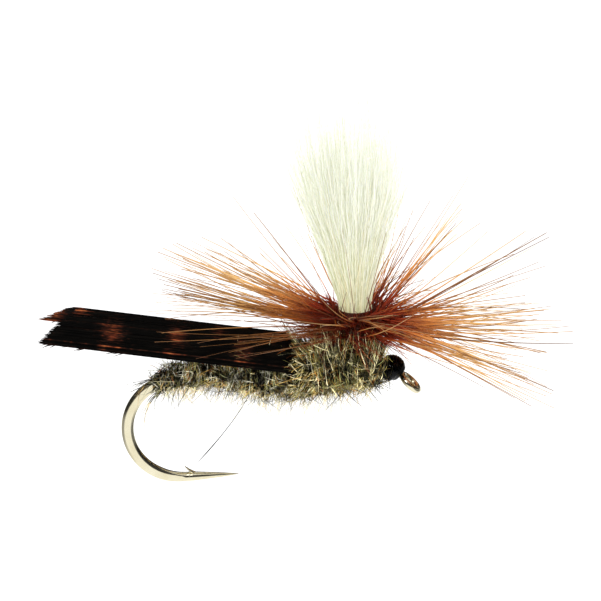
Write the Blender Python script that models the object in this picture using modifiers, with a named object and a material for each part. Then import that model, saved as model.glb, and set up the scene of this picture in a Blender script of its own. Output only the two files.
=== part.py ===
"""Parachute caddis dry fly on a down-eye, forged, barbed hook.

Frame: metres, +X along the shank towards the hook eye, +Z up the wing post, +Y to the fly's left.
The origin is the centre of the hook eye, where the tippet is tied.
Every lashed piece keeps a small fitting gap to the piece it sits on.
"""
import math

import bmesh
import bpy
from mathutils import Matrix, Vector

MM = 0.001
FIT_GAP = 0.02 * MM
ROUND_SIDES = 12
WELD_DISTANCE = 1e-7

# Hook: a size 10, two extra long, dry-fly pattern.
WIRE_RADIUS = 0.26 * MM
SHANK_HEIGHT = 0.93 * MM
BEND_RADIUS = 2.95 * MM
BEND_CENTRE_X = -12.90 * MM
POINT_X = -9.79 * MM
POINT_TAPER_START_X = -12.3 * MM
POINT_TIP_RADIUS = 0.012 * MM
FORGED_RADIUS = 0.34 * MM
FORGED_HALF_THICKNESS = 0.20 * MM
EYE_RING_RADIUS = 0.58 * MM
EYE_WIRE_RADIUS = 0.21 * MM
EYE_DROOP = math.radians(45.0)
NECK_CORNER_RADIUS = 0.80 * MM
BARB_ROOT = (-12.06 * MM, -0.17 * MM)
BARB_TIP = (-12.62 * MM, 0.60 * MM)
BARB_ROOT_RADIUS = 0.13 * MM
BARB_TIP_RADIUS = 0.015 * MM

# Tying thread.
UNDERBODY_RADIUS = 0.36 * MM
UNDERBODY_FRONT_X = -1.62 * MM
TAIL_END_ANGLE = math.radians(115.0)
POST_THREAD_RADIUS = 1.04 * MM
POST_THREAD_BOTTOM = 2.80 * MM
POST_THREAD_TOP = 4.72 * MM
LASHING_RADIUS = 0.86 * MM
LASHING_CENTRE_Z = 1.28 * MM
LASHING_REAR_X = -4.95 * MM
LASHING_FRONT_X = -4.15 * MM
WING_BAND_REAR_X = -5.98 * MM
WING_BAND_FRONT_X = -5.62 * MM
WING_BAND_THICKNESS = 0.10 * MM

# Dubbed body: (x, radius) stations from the tail forwards.
TAIL_RADII = (0.42 * MM, 0.46 * MM, 0.50 * MM, 0.52 * MM)
ABDOMEN_STATIONS = (
    (-12.0, 0.53), (-11.2, 0.50), (-10.4, 0.64), (-9.7, 0.66), (-9.1, 0.88),
    (-8.4, 0.98), (-7.8, 1.08), (-7.2, 1.06), (-6.7, 1.05), (-6.3, 1.00), (-5.62, 1.00),
)
THORAX_STATIONS = (
    (-5.54, 1.00), (-5.2, 1.22), (-4.5, 1.34), (-3.7, 1.40), (-2.9, 1.38),
    (-2.2, 1.22), (-1.75, 0.98), (-1.58, 0.74),
)
THORAX_LIFT = 0.22 * MM

# Tent wing of two quill slips.
WING_FRONT_X = -5.66 * MM
WING_SHOULDER_X = -5.98 * MM
WING_TENT_X = -7.0 * MM
WING_EDGE_END_X = -20.30 * MM
WING_SLANT = 2.2 * MM
WING_THICKNESS = 0.06 * MM
WING_SADDLE_RADIUS = 1.06 * MM
WING_SADDLE_ANGLE = math.radians(82.0)
WING_RISE = math.tan(math.radians(10.4))
WING_RIDGE_HEIGHT = 3.40 * MM
WING_EDGE_HEIGHT = 1.74 * MM
WING_HEIGHT_AT_X = -7.27 * MM
WING_HALF_WIDTH = 1.86 * MM
WING_BULGE = 0.24 * MM
WING_RIDGE_SPLIT = 0.05 * MM

# Upright calf-hair post.
POST_X = -2.80 * MM
POST_PROFILE = (
    (0.50, 1.36), (0.84, 1.80), (0.90, 2.60), (0.90, 4.80), (1.16, 5.40), (1.62, 7.00),
    (2.20, 9.20), (2.66, 11.30), (2.76, 12.60), (2.46, 13.80), (1.70, 14.70), (0.70, 15.35),
)
BUTT_RADIUS = 0.36 * MM
BUTT_REAR_X = -5.10 * MM
BUTT_FRONT_X = -2.60 * MM
BUTT_HEIGHT = 1.74 * MM

# Parachute hackle.
STEM_RADIUS = 0.07 * MM
STEM_TURNS = 5
STEM_POINTS_PER_TURN = 14
STEM_BOTTOM = 3.05 * MM
STEM_PITCH = 0.27 * MM
HUB_INNER_RADIUS = 1.25 * MM
HUB_OUTER_RADIUS = 1.62 * MM
HUB_BOTTOM = 2.98 * MM
HUB_TOP = 4.48 * MM
HUB_COLUMNS = 30
HUB_ROWS = 3
BARB_LENGTHS = (11.6 * MM, 10.2 * MM, 11.2 * MM, 9.2 * MM, 10.8 * MM)
BARB_RISES = (math.radians(9.0), math.radians(15.0), math.radians(23.0))
BARB_RISE_SWING = math.radians(4.0)
HACKLE_TILT = math.radians(6.0)
HACKLE_NEAR_LIFT = math.radians(6.0)
BARB_TIP_SIZE = 0.10

# Finished head.
HEAD_RADII = (0.40 * MM, 0.60 * MM, 0.66 * MM, 0.62 * MM, 0.52 * MM, 0.36 * MM)
HEAD_REAR_X = -1.54 * MM
CEMENT_THICKNESS = 0.04 * MM
CEMENT_GAP = 0.015 * MM

BEND_CENTRE_Z = SHANK_HEIGHT - BEND_RADIUS


def clear_scene():
    """Removes whatever the opened file holds."""
    for item in list(bpy.context.scene.objects):
        bpy.data.objects.remove(item)


def new_collection(name):
    collection = bpy.data.collections.new(name)
    bpy.context.scene.collection.children.link(collection)
    return collection


def new_material(name, colour, roughness, metallic=0.0):
    material = bpy.data.materials.new(name)
    material.use_nodes = True
    shader = material.node_tree.nodes["Principled BSDF"]
    shader.inputs["Base Color"].default_value = (*colour, 1.0)
    shader.inputs["Roughness"].default_value = roughness
    shader.inputs["Metallic"].default_value = metallic
    return material


def add_object(name, mesh, collection, material=None):
    item = bpy.data.objects.new(name, mesh)
    collection.objects.link(item)
    if material is not None:
        mesh.materials.append(material)
    return item


def shade_round(mesh):
    mesh.shade_smooth()
    mesh.set_sharp_from_angle(angle=math.radians(40.0))


def mesh_from_bmesh(name, shape):
    bmesh.ops.recalc_face_normals(shape, faces=shape.faces)
    mesh = bpy.data.meshes.new(name)
    shape.to_mesh(mesh)
    shape.free()
    shade_round(mesh)
    return mesh


def tube_mesh(name, points, radii, sides=ROUND_SIDES):
    """A closed round tube through the points, with its own radius at each of them."""
    curve = bpy.data.curves.new(name, "CURVE")
    curve.dimensions = "3D"
    curve.bevel_depth = MM
    curve.bevel_resolution = sides // 2 - 2
    curve.use_fill_caps = True
    spline = curve.splines.new("POLY")
    spline.points.add(len(points) - 1)
    for control, place, radius in zip(spline.points, points, radii):
        control.co = (*place, 1.0)
        control.radius = radius / MM
    carrier = bpy.data.objects.new(name, curve)
    bpy.context.scene.collection.objects.link(carrier)
    bpy.context.view_layer.update()
    graph = bpy.context.evaluated_depsgraph_get()
    mesh = bpy.data.meshes.new_from_object(carrier.evaluated_get(graph))
    bpy.data.objects.remove(carrier)
    shape = bmesh.new()
    shape.from_mesh(mesh)
    bpy.data.meshes.remove(mesh)
    bmesh.ops.remove_doubles(shape, verts=shape.verts, dist=WELD_DISTANCE)
    return mesh_from_bmesh(name, shape)


def turned_object(name, profile, collection, material=None, axis_x=0.0, closed=False, steps=24):
    """A body turned about a vertical axis: the profile runs top to bottom down its outer side."""
    mesh = bpy.data.meshes.new(name)
    edges = [(i, i + 1) for i in range(len(profile) - 1)]
    if closed:
        edges.append((len(profile) - 1, 0))
    mesh.from_pydata([(radius, 0.0, height) for radius, height in profile], edges, [])
    item = add_object(name, mesh, collection, material)
    item.location = (axis_x, 0.0, 0.0)
    screw = item.modifiers.new("Turn", "SCREW")
    screw.steps = steps
    screw.render_steps = steps
    screw.use_merge_vertices = True
    screw.merge_threshold = WELD_DISTANCE
    screw.use_smooth_shade = True
    return item


def as_cutter(item):
    item.hide_render = True
    item.display_type = "WIRE"
    return item


def combine(target, other, operation):
    """Adds or cuts another body; the other body stays in the cutters' collection."""
    boolean = target.modifiers.new(other.name, "BOOLEAN")
    boolean.operation = operation
    boolean.solver = "EXACT"
    boolean.object = other


def arc(centre_x, centre_z, radius, start, stop, segments):
    """Points on an arc in the fly's middle plane, from one angle to another."""
    points = []
    for step in range(segments + 1):
        angle = start + (stop - start) * step / segments
        points.append(Vector((centre_x + radius * math.cos(angle), 0.0, centre_z + radius * math.sin(angle))))
    return points


def neck_points(segments=4):
    """The wire's centre line from the eye ring round the corner to the shank."""
    down = Vector((math.cos(EYE_DROOP), 0.0, -math.sin(EYE_DROOP)))
    corner_x = -SHANK_HEIGHT / math.tan(EYE_DROOP)
    corner_x -= NECK_CORNER_RADIUS * math.tan(EYE_DROOP / 2)
    corner = arc(corner_x, SHANK_HEIGHT - NECK_CORNER_RADIUS, NECK_CORNER_RADIUS,
                 math.pi / 2 - EYE_DROOP, math.pi / 2, segments)
    return [down * -EYE_RING_RADIUS] + corner


def bend_points(start, stop, segments):
    return arc(BEND_CENTRE_X, BEND_CENTRE_Z, BEND_RADIUS, start, stop, segments)


def forging(angle):
    """How far the bend is hammered flat: none at its ends, full along its middle."""
    ramp = math.radians(28.0)
    rise = min(1.0, max(0.0, (angle - math.radians(100.0)) / ramp))
    fall = min(1.0, max(0.0, (math.radians(272.0) - angle) / ramp))
    return min(rise, fall)


def hook_path():
    """The wire's centre line from eye to point, with the radius at each place."""
    neck = neck_points()
    path = [(place, EYE_WIRE_RADIUS * (0.8 + 0.2 * i / len(neck))) for i, place in enumerate(neck)]
    path = path[:-1] + [(path[-1][0], WIRE_RADIUS)]
    segments = 32
    for i, place in enumerate(bend_points(math.pi / 2, math.pi * 1.5, segments)):
        amount = forging(math.pi / 2 + math.pi * i / segments)
        path.append((place, WIRE_RADIUS + (FORGED_RADIUS - WIRE_RADIUS) * amount))
    bottom = BEND_CENTRE_Z - BEND_RADIUS
    path.append((Vector((POINT_TAPER_START_X, 0.0, bottom)), WIRE_RADIUS))
    middle_x = (POINT_TAPER_START_X + POINT_X) / 2
    path.append((Vector((middle_x, 0.0, bottom)), WIRE_RADIUS * 0.60))
    path.append((Vector((POINT_X, 0.0, bottom)), POINT_TIP_RADIUS))
    return path


def press_flats(mesh):
    """Presses the two flats of the forged bend, which thin out to round wire at its ends."""
    for vertex in mesh.vertices:
        offset_x = vertex.co.x - BEND_CENTRE_X
        offset_z = vertex.co.z - BEND_CENTRE_Z
        if vertex.co.x > BEND_CENTRE_X + WIRE_RADIUS:
            continue
        angle = math.atan2(offset_z, offset_x) % math.tau
        reach = FORGED_RADIUS + (FORGED_HALF_THICKNESS - FORGED_RADIUS) * min(1.0, forging(angle) * 1.6)
        vertex.co.y = max(-reach, min(reach, vertex.co.y))


def make_hook(parts, cutters):
    path = hook_path()
    mesh = tube_mesh("hook", [place for place, _ in path], [radius for _, radius in path])
    press_flats(mesh)
    hook = add_object("hook", mesh, parts, new_material("bronzed_wire", (0.72, 0.60, 0.38), 0.25, 1.0))
    bpy.ops.mesh.primitive_torus_add(major_radius=EYE_RING_RADIUS, minor_radius=EYE_WIRE_RADIUS,
                                     major_segments=28, minor_segments=ROUND_SIDES,
                                     rotation=(0.0, EYE_DROOP, 0.0))
    ring = bpy.context.object
    ring.name = "eye_ring"
    move_to(ring, cutters)
    bottom = BEND_CENTRE_Z - BEND_RADIUS
    root = Vector((BARB_ROOT[0], 0.0, bottom + BARB_ROOT[1] + WIRE_RADIUS))
    tip = Vector((BARB_TIP[0], 0.0, bottom + BARB_TIP[1]))
    bpy.ops.mesh.primitive_cone_add(vertices=8, radius1=BARB_ROOT_RADIUS, radius2=BARB_TIP_RADIUS,
                                    depth=(tip - root).length, location=(root + tip) / 2,
                                    rotation=(tip - root).to_track_quat("Z", "Y").to_euler())
    barb = bpy.context.object
    barb.name = "point_barb"
    move_to(barb, cutters)
    for addition in (ring, barb):
        as_cutter(addition)
        combine(hook, addition, "UNION")
    return hook


def move_to(item, collection):
    for holder in list(item.users_collection):
        holder.objects.unlink(item)
    collection.objects.link(item)


def rear_path(segments=4):
    """The shank's centre line where the dubbing starts, on the first part of the bend."""
    return list(reversed(bend_points(math.pi / 2, TAIL_END_ANGLE, segments)))


def on_shank(x, lift=0.0):
    return Vector((x, 0.0, SHANK_HEIGHT + lift))


def extended(points, reach):
    """The same line, carried straight on past both of its ends."""
    first = points[0] + (points[0] - points[1]).normalized() * reach
    last = points[-1] + (points[-1] - points[-2]).normalized() * reach
    return [first] + points + [last]


def make_cutter(name, points, radii, cutters):
    return as_cutter(add_object(name, tube_mesh(name, points, radii), cutters))


def make_underbody(parts, cutters):
    points = rear_path() + [on_shank(UNDERBODY_FRONT_X)]
    mesh = tube_mesh("thread_underbody", points, [UNDERBODY_RADIUS] * len(points))
    thread = new_material("olive_thread", (0.09, 0.08, 0.05), 0.6)
    underbody = add_object("thread_underbody", mesh, parts, thread)
    bore = extended(points, WIRE_RADIUS)
    cutter = make_cutter("wire_clearance", bore, [WIRE_RADIUS + 2 * FIT_GAP] * len(bore), cutters)
    combine(underbody, cutter, "DIFFERENCE")
    return underbody


def make_body_bore(cutters):
    """The space that the thread underbody takes inside the dubbing."""
    points = extended(rear_path() + [on_shank(UNDERBODY_FRONT_X)], WIRE_RADIUS * 2)
    return make_cutter("underbody_clearance", points, [UNDERBODY_RADIUS + FIT_GAP] * len(points), cutters)


def make_abdomen(parts, bore):
    points = rear_path() + [on_shank(x * MM) for x, _ in ABDOMEN_STATIONS]
    radii = list(TAIL_RADII) + [TAIL_RADII[-1]] + [radius * MM for _, radius in ABDOMEN_STATIONS]
    mesh = tube_mesh("abdomen_dubbing", points, radii)
    abdomen = add_object("abdomen_dubbing", mesh, parts, new_material("hare_fur", (0.15, 0.13, 0.08), 0.9))
    combine(abdomen, bore, "DIFFERENCE")
    return abdomen


def butt_points():
    return [Vector((BUTT_REAR_X, 0.0, BUTT_HEIGHT)), Vector((BUTT_FRONT_X, 0.0, BUTT_HEIGHT))]


def make_wing_post(parts, cutters):
    profile = [(radius * MM, height * MM) for radius, height in reversed(POST_PROFILE)]
    profile = [(0.0, profile[0][1] + 0.15 * MM)] + profile + [(0.0, profile[-1][1])]
    hair = new_material("calf_hair", (0.86, 0.86, 0.62), 0.5)
    post = turned_object("wing_post", profile, parts, hair, POST_X, steps=20)
    ends = make_cutter("post_butt_ends", butt_points(), [BUTT_RADIUS * 0.8, BUTT_RADIUS], cutters)
    combine(post, ends, "UNION")
    return post


def make_post_clearances(cutters):
    """The spaces that the post and its butt ends take in the dubbing and thread round them."""
    radius = max(radius for radius, height in POST_PROFILE if height < 4.0) * MM + FIT_GAP * 2
    profile = [(0.0, 6.0 * MM), (radius, 6.0 * MM), (radius, 1.33 * MM), (0.0, 1.33 * MM)]
    upright = as_cutter(turned_object("post_clearance", profile, cutters, axis_x=POST_X, steps=20))
    reach = extended(butt_points(), FIT_GAP)
    butts = make_cutter("butt_clearance", reach[:1] + reach[2:3], [BUTT_RADIUS + FIT_GAP] * 2, cutters)
    return upright, butts


def make_butt_lashing(parts, bore, butts):
    points = [Vector((x, 0.0, LASHING_CENTRE_Z)) for x in (LASHING_REAR_X, LASHING_FRONT_X)]
    mesh = tube_mesh("butt_lashing", points, [LASHING_RADIUS] * 2)
    lashing = add_object("butt_lashing", mesh, parts, new_material("lashing_thread", (0.08, 0.07, 0.05), 0.6))
    combine(lashing, bore, "DIFFERENCE")
    combine(lashing, butts, "DIFFERENCE")
    return lashing


def make_thorax(parts, cutters, bore, upright, butts):
    points = [on_shank(x * MM, THORAX_LIFT) for x, _ in THORAX_STATIONS]
    radii = [radius * MM for _, radius in THORAX_STATIONS]
    fur = new_material("hare_fur_picked_out", (0.15, 0.13, 0.07), 0.9)
    thorax = add_object("thorax_dubbing", tube_mesh("thorax_dubbing", points, radii), parts, fur)
    ring = [Vector((x, 0.0, LASHING_CENTRE_Z)) for x in (LASHING_REAR_X - FIT_GAP, LASHING_FRONT_X + FIT_GAP)]
    lashing = make_cutter("lashing_clearance", ring, [LASHING_RADIUS + FIT_GAP] * 2, cutters)
    for cutter in (bore, upright, butts, lashing):
        combine(thorax, cutter, "DIFFERENCE")
    return thorax


def smooth_step(value):
    value = max(0.0, min(1.0, value))
    return value * value * (3.0 - 2.0 * value)


def wing_point(x, across, side):
    """A point of a quill slip: across runs from its lower edge (0) up to the ridge (1)."""
    angle = WING_SADDLE_ANGLE * (1.0 - across)
    saddle = on_shank(x, WING_SADDLE_RADIUS * math.cos(angle))
    saddle.y = WING_SADDLE_RADIUS * math.sin(angle)
    lift = (WING_HEIGHT_AT_X - x) * WING_RISE
    height = WING_EDGE_HEIGHT + (WING_RIDGE_HEIGHT - WING_EDGE_HEIGHT) * across
    bulge = WING_BULGE * math.sin(math.pi * across)
    tent = Vector((x, WING_HALF_WIDTH * (1.0 - across) + bulge, height + lift + bulge))
    place = saddle.lerp(tent, smooth_step((WING_SHOULDER_X - x) / (WING_SHOULDER_X - WING_TENT_X)))
    return Vector((x, side * (place.y + WING_RIDGE_SPLIT), place.z))


def wing_end(across, side):
    """Where a slip's rear edge is: straight on the near slip, rounded on the far one."""
    slant = across if side < 0 else 1.0 - (1.0 - across) ** 1.9
    return WING_EDGE_END_X + WING_SLANT * slant


def make_wing_slip(name, side, parts):
    rows, columns = 24, 6
    shape = bmesh.new()
    grid = []
    for row in range(rows + 1):
        line = []
        for column in range(columns + 1):
            across = column / columns
            x = WING_FRONT_X + (wing_end(across, side) - WING_FRONT_X) * (row / rows) ** 1.6
            line.append(shape.verts.new(wing_point(x, across, side)))
        grid.append(line)
    for row in range(rows):
        for column in range(columns):
            here, behind = grid[row], grid[row + 1]
            corners = [here[column], behind[column], behind[column + 1], here[column + 1]]
            shape.faces.new(corners if side > 0 else reversed(corners))
    mesh = bpy.data.meshes.new(name)
    shape.to_mesh(mesh)
    shape.free()
    mesh.shade_smooth()
    slip = add_object(name, mesh, parts, new_material(name + "_quill", (0.035, 0.018, 0.010), 0.4))
    solid = slip.modifiers.new("Thickness", "SOLIDIFY")
    solid.thickness = WING_THICKNESS
    solid.offset = 0.0
    return slip


def sleeve_profile(inner, outer, bottom, top):
    return [(outer, top), (outer, bottom), (inner, bottom), (inner, top)]


def make_wing_band(parts):
    """The thread that binds the wing's front end down over the abdomen."""
    inner = WING_SADDLE_RADIUS + WING_THICKNESS + FIT_GAP * 2 + WING_RIDGE_SPLIT
    length = WING_BAND_FRONT_X - WING_BAND_REAR_X
    swell = WING_BAND_THICKNESS * 0.4
    outer = inner + WING_BAND_THICKNESS
    profile = [(outer, length), (outer + swell, length / 2), (outer, 0.0), (inner, 0.0), (inner, length)]
    thread = new_material("wing_thread", (0.05, 0.04, 0.03), 0.5)
    band = turned_object("wing_tie_down", profile, parts, thread, closed=True)
    band.location = (WING_BAND_REAR_X, 0.0, SHANK_HEIGHT)
    band.rotation_euler = (0.0, math.pi / 2, 0.0)
    return band


def make_post_thread(parts):
    inner = 0.90 * MM + FIT_GAP
    profile = sleeve_profile(inner, POST_THREAD_RADIUS, POST_THREAD_BOTTOM, POST_THREAD_TOP)
    thread = new_material("post_thread", (0.10, 0.05, 0.03), 0.5)
    return turned_object("post_thread_base", profile, parts, thread, POST_X, closed=True)


def make_hackle_stem(parts):
    """The feather's quill, wound up the thread base in touching turns."""
    radius = POST_THREAD_RADIUS + FIT_GAP + STEM_RADIUS
    count = STEM_TURNS * STEM_POINTS_PER_TURN
    points, radii = [], []
    for i in range(count + 1):
        turn = i / STEM_POINTS_PER_TURN
        angle = turn * math.tau
        points.append(Vector((POST_X + radius * math.cos(angle), radius * math.sin(angle),
                              STEM_BOTTOM + turn * STEM_PITCH)))
        radii.append(STEM_RADIUS * (1.0 - 0.35 * i / count))
    mesh = tube_mesh("hackle_stem", points, radii, sides=6)
    return add_object("hackle_stem", mesh, parts, new_material("hackle_quill", (0.16, 0.05, 0.02), 0.4))


def barb_tip(column, row):
    """The tip of one hackle barb, seen from the hub's centre."""
    azimuth = (column + 0.5 + (row - 1) * 0.33) / HUB_COLUMNS * math.tau
    rise = BARB_RISES[row] + BARB_RISE_SWING * math.sin(5.0 * azimuth + row)
    rise += HACKLE_NEAR_LIFT * max(0.0, -math.sin(azimuth)) - HACKLE_TILT * math.cos(azimuth)
    length = BARB_LENGTHS[(column * 3 + row * 2) % len(BARB_LENGTHS)]
    flat = Vector((math.cos(azimuth), math.sin(azimuth), 0.0)) * math.cos(rise)
    return (flat + Vector((0.0, 0.0, math.sin(rise)))) * length


def make_hackle_barbs(parts):
    """One collar: every face of the hub's outer wall is drawn out into a barb."""
    shape = bmesh.new()
    rings = []
    levels = [HUB_BOTTOM + (HUB_TOP - HUB_BOTTOM) * i / HUB_ROWS for i in range(HUB_ROWS + 1)]
    outline = [(HUB_OUTER_RADIUS, z) for z in levels]
    outline += [(HUB_INNER_RADIUS, levels[-1]), (HUB_INNER_RADIUS, levels[0])]
    for column in range(HUB_COLUMNS):
        spin = Matrix.Rotation(column / HUB_COLUMNS * math.tau, 4, "Z")
        rings.append([shape.verts.new(spin @ Vector((radius, 0.0, z))) for radius, z in outline])
    walls = []
    for column in range(HUB_COLUMNS):
        here, there = rings[column], rings[(column + 1) % HUB_COLUMNS]
        for i in range(len(outline)):
            j = (i + 1) % len(outline)
            face = shape.faces.new((here[i], there[i], there[j], here[j]))
            if i < HUB_ROWS:
                walls.append((face, column, i))
    bmesh.ops.recalc_face_normals(shape, faces=shape.faces)
    drawn = bmesh.ops.extrude_discrete_faces(shape, faces=[face for face, _, _ in walls])["faces"]
    for face, (_, column, row) in zip(drawn, walls):
        centre = face.calc_center_median()
        target = barb_tip(column, row) + Vector((0.0, 0.0, centre.z))
        for vertex in face.verts:
            vertex.co = target + (vertex.co - centre) * BARB_TIP_SIZE
    collar = mesh_from_bmesh("hackle_barbs", shape)
    ginger = new_material("ginger_hackle", (0.42, 0.16, 0.06), 0.45)
    hackle = add_object("hackle_barbs", collar, parts, ginger)
    hackle.location = (POST_X, 0.0, 0.0)
    return hackle


def head_points():
    return [on_shank(HEAD_REAR_X)] + list(reversed(neck_points()))[:-1]


def make_head(parts, cutters):
    points = head_points()
    mesh = tube_mesh("thread_head", points, HEAD_RADII)
    head = add_object("thread_head", mesh, parts, new_material("black_thread", (0.010, 0.011, 0.013), 0.35))
    bore = extended(points, WIRE_RADIUS / 3)
    cutter = make_cutter("neck_clearance", bore, [WIRE_RADIUS + 2 * FIT_GAP] * len(bore), cutters)
    combine(head, cutter, "DIFFERENCE")
    return head


def make_cement(parts, cutters):
    """A thin varnish skin over the head, open where the wire and the dubbing pass through."""
    points = head_points()
    outer = [radius + CEMENT_GAP + CEMENT_THICKNESS for radius in HEAD_RADII]
    inner = [radius + CEMENT_GAP for radius in HEAD_RADII]
    varnish = new_material("head_cement", (0.03, 0.03, 0.03), 0.1)
    skin = add_object("head_cement", tube_mesh("head_cement", points[1:], outer[1:]), parts, varnish)
    core = make_cutter("head_clearance", extended(points, FIT_GAP), [inner[0]] + inner + [inner[-1]], cutters)
    combine(skin, core, "DIFFERENCE")
    return skin


def build():
    clear_scene()
    parts = new_collection("dry_fly")
    cutters = new_collection("cutters")
    frame = bpy.data.objects.new("dry_fly_frame", None)
    parts.objects.link(frame)
    bore = make_body_bore(cutters)
    upright, butts = make_post_clearances(cutters)
    pieces = [
        make_hook(parts, cutters),
        make_underbody(parts, cutters),
        make_abdomen(parts, bore),
        make_wing_post(parts, cutters),
        make_butt_lashing(parts, bore, butts),
        make_thorax(parts, cutters, bore, upright, butts),
        make_wing_slip("wing_slip_near", -1, parts),
        make_wing_slip("wing_slip_far", 1, parts),
        make_wing_band(parts),
        make_post_thread(parts),
        make_hackle_stem(parts),
        make_hackle_barbs(parts),
        make_head(parts, cutters),
        make_cement(parts, cutters),
    ]
    for piece in pieces:
        piece.parent = frame


build()
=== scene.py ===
"""The looks of a parachute caddis dry fly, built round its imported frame.

Fibres are swept as fine tapered tubes. Lengths are in millimetres until a mesh is made.
"""
from math import cos, pi, radians, sin, tan, tau

import bpy
import numpy as np
from mathutils import Matrix, Vector
from numpy.random import default_rng


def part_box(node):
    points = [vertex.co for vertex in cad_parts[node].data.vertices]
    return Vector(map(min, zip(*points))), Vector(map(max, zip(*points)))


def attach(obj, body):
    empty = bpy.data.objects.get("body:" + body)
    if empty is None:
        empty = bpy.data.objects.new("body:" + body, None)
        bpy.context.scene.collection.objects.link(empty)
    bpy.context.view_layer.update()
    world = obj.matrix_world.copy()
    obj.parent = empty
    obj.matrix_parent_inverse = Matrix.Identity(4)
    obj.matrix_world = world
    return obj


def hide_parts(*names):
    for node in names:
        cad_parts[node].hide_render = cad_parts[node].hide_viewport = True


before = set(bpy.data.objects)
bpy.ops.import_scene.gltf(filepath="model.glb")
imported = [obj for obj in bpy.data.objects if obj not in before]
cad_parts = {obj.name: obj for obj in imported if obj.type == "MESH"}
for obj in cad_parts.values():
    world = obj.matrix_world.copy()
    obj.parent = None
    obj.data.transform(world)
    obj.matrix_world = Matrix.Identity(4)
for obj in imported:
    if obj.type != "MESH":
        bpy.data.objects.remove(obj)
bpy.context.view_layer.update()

MM = 0.001
Y_AXIS = np.array((0.0, 1.0, 0.0))
Z_AXIS = np.array((0.0, 0.0, 1.0))


def extent(node, axis):
    """The lowest and highest place of a CAD node along an axis, in millimetres."""
    low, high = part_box(node)
    return low[axis] / MM, high[axis] / MM


def middle(node, axis):
    """The place halfway along a CAD node, in millimetres."""
    low, high = extent(node, axis)
    return (low + high) / 2


# Places that the CAD frame gives.
SHANK_Z = middle("wing_tie_down", 2)
POST_X = middle("post_thread_base", 0)
POST_TOP = extent("wing_post", 2)[1]
POST_THREAD_LOW, POST_THREAD_HIGH = extent("post_thread_base", 2)
POST_THREAD_RADIUS = extent("post_thread_base", 1)[1]
STEM_LOW, STEM_HIGH = extent("hackle_stem", 2)
HACKLE_REACH = extent("hackle_barbs", 0)[1] - POST_X
HOOK_REAR = extent("hook", 0)[0]
THORAX_REAR, BODY_FRONT = extent("thorax_dubbing", 0)
HEAD_REAR = extent("thread_head", 0)[0]
WING_REAR, WING_FRONT = extent("wing_slip_near", 0)
WING_TOP = extent("wing_slip_near", 2)[1]
BAND_REAR, BAND_FRONT = extent("wing_tie_down", 0)
BAND_RADIUS = extent("wing_tie_down", 1)[1]

# Hook.
WIRE_RADIUS = 0.26
BEND_RADIUS = 2.95
FORGED_RADIUS = 0.34
FORGED_HALF_THICKNESS = 0.20
FORGED_FLAT = 0.16
FORGED_SLOPE = 0.55
FORGED_START = radians(91.0)
FORGED_RISE = radians(24.0)
FORGED_STOP = radians(276.0)
FORGED_FALL = radians(34.0)
HOOK_SIDES = 40
SHANK_STEPS = 40
BEND_STEPS = 120
EYE_RING_RADIUS = 0.58
EYE_WIRE_RADIUS = 0.20
EYE_DROOP = radians(45.0)
EYE_DOWN = np.array((cos(EYE_DROOP), 0.0, -sin(EYE_DROOP)))
CORNER_RADIUS = 0.80
SPEAR_LENGTH = 3.11
SPEAR_ROUND = 0.55
POINT_RADIUS = 0.006
BARB_ROOT = (0.80, 0.0, 0.08)
BARB_KNEE = (0.42, 0.0, 0.26)
BARB_TIP = (0.05, 0.0, 0.68)
BEND_X = HOOK_REAR + BEND_RADIUS + FORGED_RADIUS
BEND_Z = SHANK_Z - BEND_RADIUS
BEND_BOTTOM = BEND_Z - BEND_RADIUS
TAIL_ANGLE = radians(115.0)


# ---- meshes

def shares(count):
    """Evenly spread shares from 0 to 1."""
    return np.linspace(0, 1, count)


def clamp(value):
    """The value kept between 0 and 1."""
    return np.clip(value, 0, 1)


def unit(vectors):
    """The vectors at length 1."""
    return vectors / np.maximum(np.linalg.norm(vectors, axis=-1, keepdims=True), 1e-9)


def tubes(name, paths, widths, heights=None, lateral=None, sides=3, strand=None):
    """One mesh of closed tubes along (n, m, 3) paths, with half-widths and half-heights (n, m)."""
    paths = np.asarray(paths, float)
    count, length, _ = paths.shape
    widths = np.broadcast_to(widths, (count, length))
    heights = widths if heights is None else np.broadcast_to(heights, (count, length))
    forward = unit(np.gradient(paths, axis=1))
    if lateral is None:
        lateral = np.where(np.abs(forward[:, :1, 2:]) > 0.8, (1.0, 0.0, 0.0), (0.0, 0.0, 1.0))
    across = lateral - (lateral * forward).sum(-1, keepdims=True) * forward
    across = unit(np.broadcast_to(across, paths.shape))
    up = np.cross(forward, across)
    turn = np.arange(sides) * tau / sides
    ring = across[:, :, None] * (widths[:, :, None] * np.cos(turn))[..., None]
    ring = ring + up[:, :, None] * (heights[:, :, None] * np.sin(turn))[..., None]
    points = (paths[:, :, None] + ring).reshape(-1, 3) * MM
    index = np.arange(count * length * sides).reshape(count, length, sides)
    after = np.roll(index, -1, axis=2)
    walls = np.stack((index[:, :-1], after[:, :-1], after[:, 1:], index[:, 1:]), -1).reshape(-1, 4)
    caps = np.concatenate((index[:, 0, ::-1], index[:, -1]))
    mesh = bpy.data.meshes.new(name)
    mesh.from_pydata(points.tolist(), [], walls.tolist() + caps.tolist())
    strand = np.zeros(count) if strand is None else strand
    store(mesh, "strand", np.repeat(strand, length * sides))
    store(mesh, "along", np.tile(np.repeat(shares(length), sides), count))
    mesh.shade_smooth()
    return link(name, mesh)


def tube(name, path, radius, sides, lateral=Y_AXIS):
    """One closed round tube along a path."""
    return tubes(name, path[None], radius, lateral=lateral, sides=sides)


def bowed_runs(starts, headings, lengths, bows, t):
    """One path from each start, sampled at the shares t of its length and bent away by its bow."""
    ahead = headings[:, None] * (lengths[:, None] * t)[..., None]
    return starts[:, None] + ahead + bows[:, None] * (t ** 2)[:, None]


def curved_run(start, bend, end, t):
    """One path from start to end that is pulled towards bend."""
    return start * (1 - t) ** 2 + bend * 2 * t * (1 - t) + end * t ** 2


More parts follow.
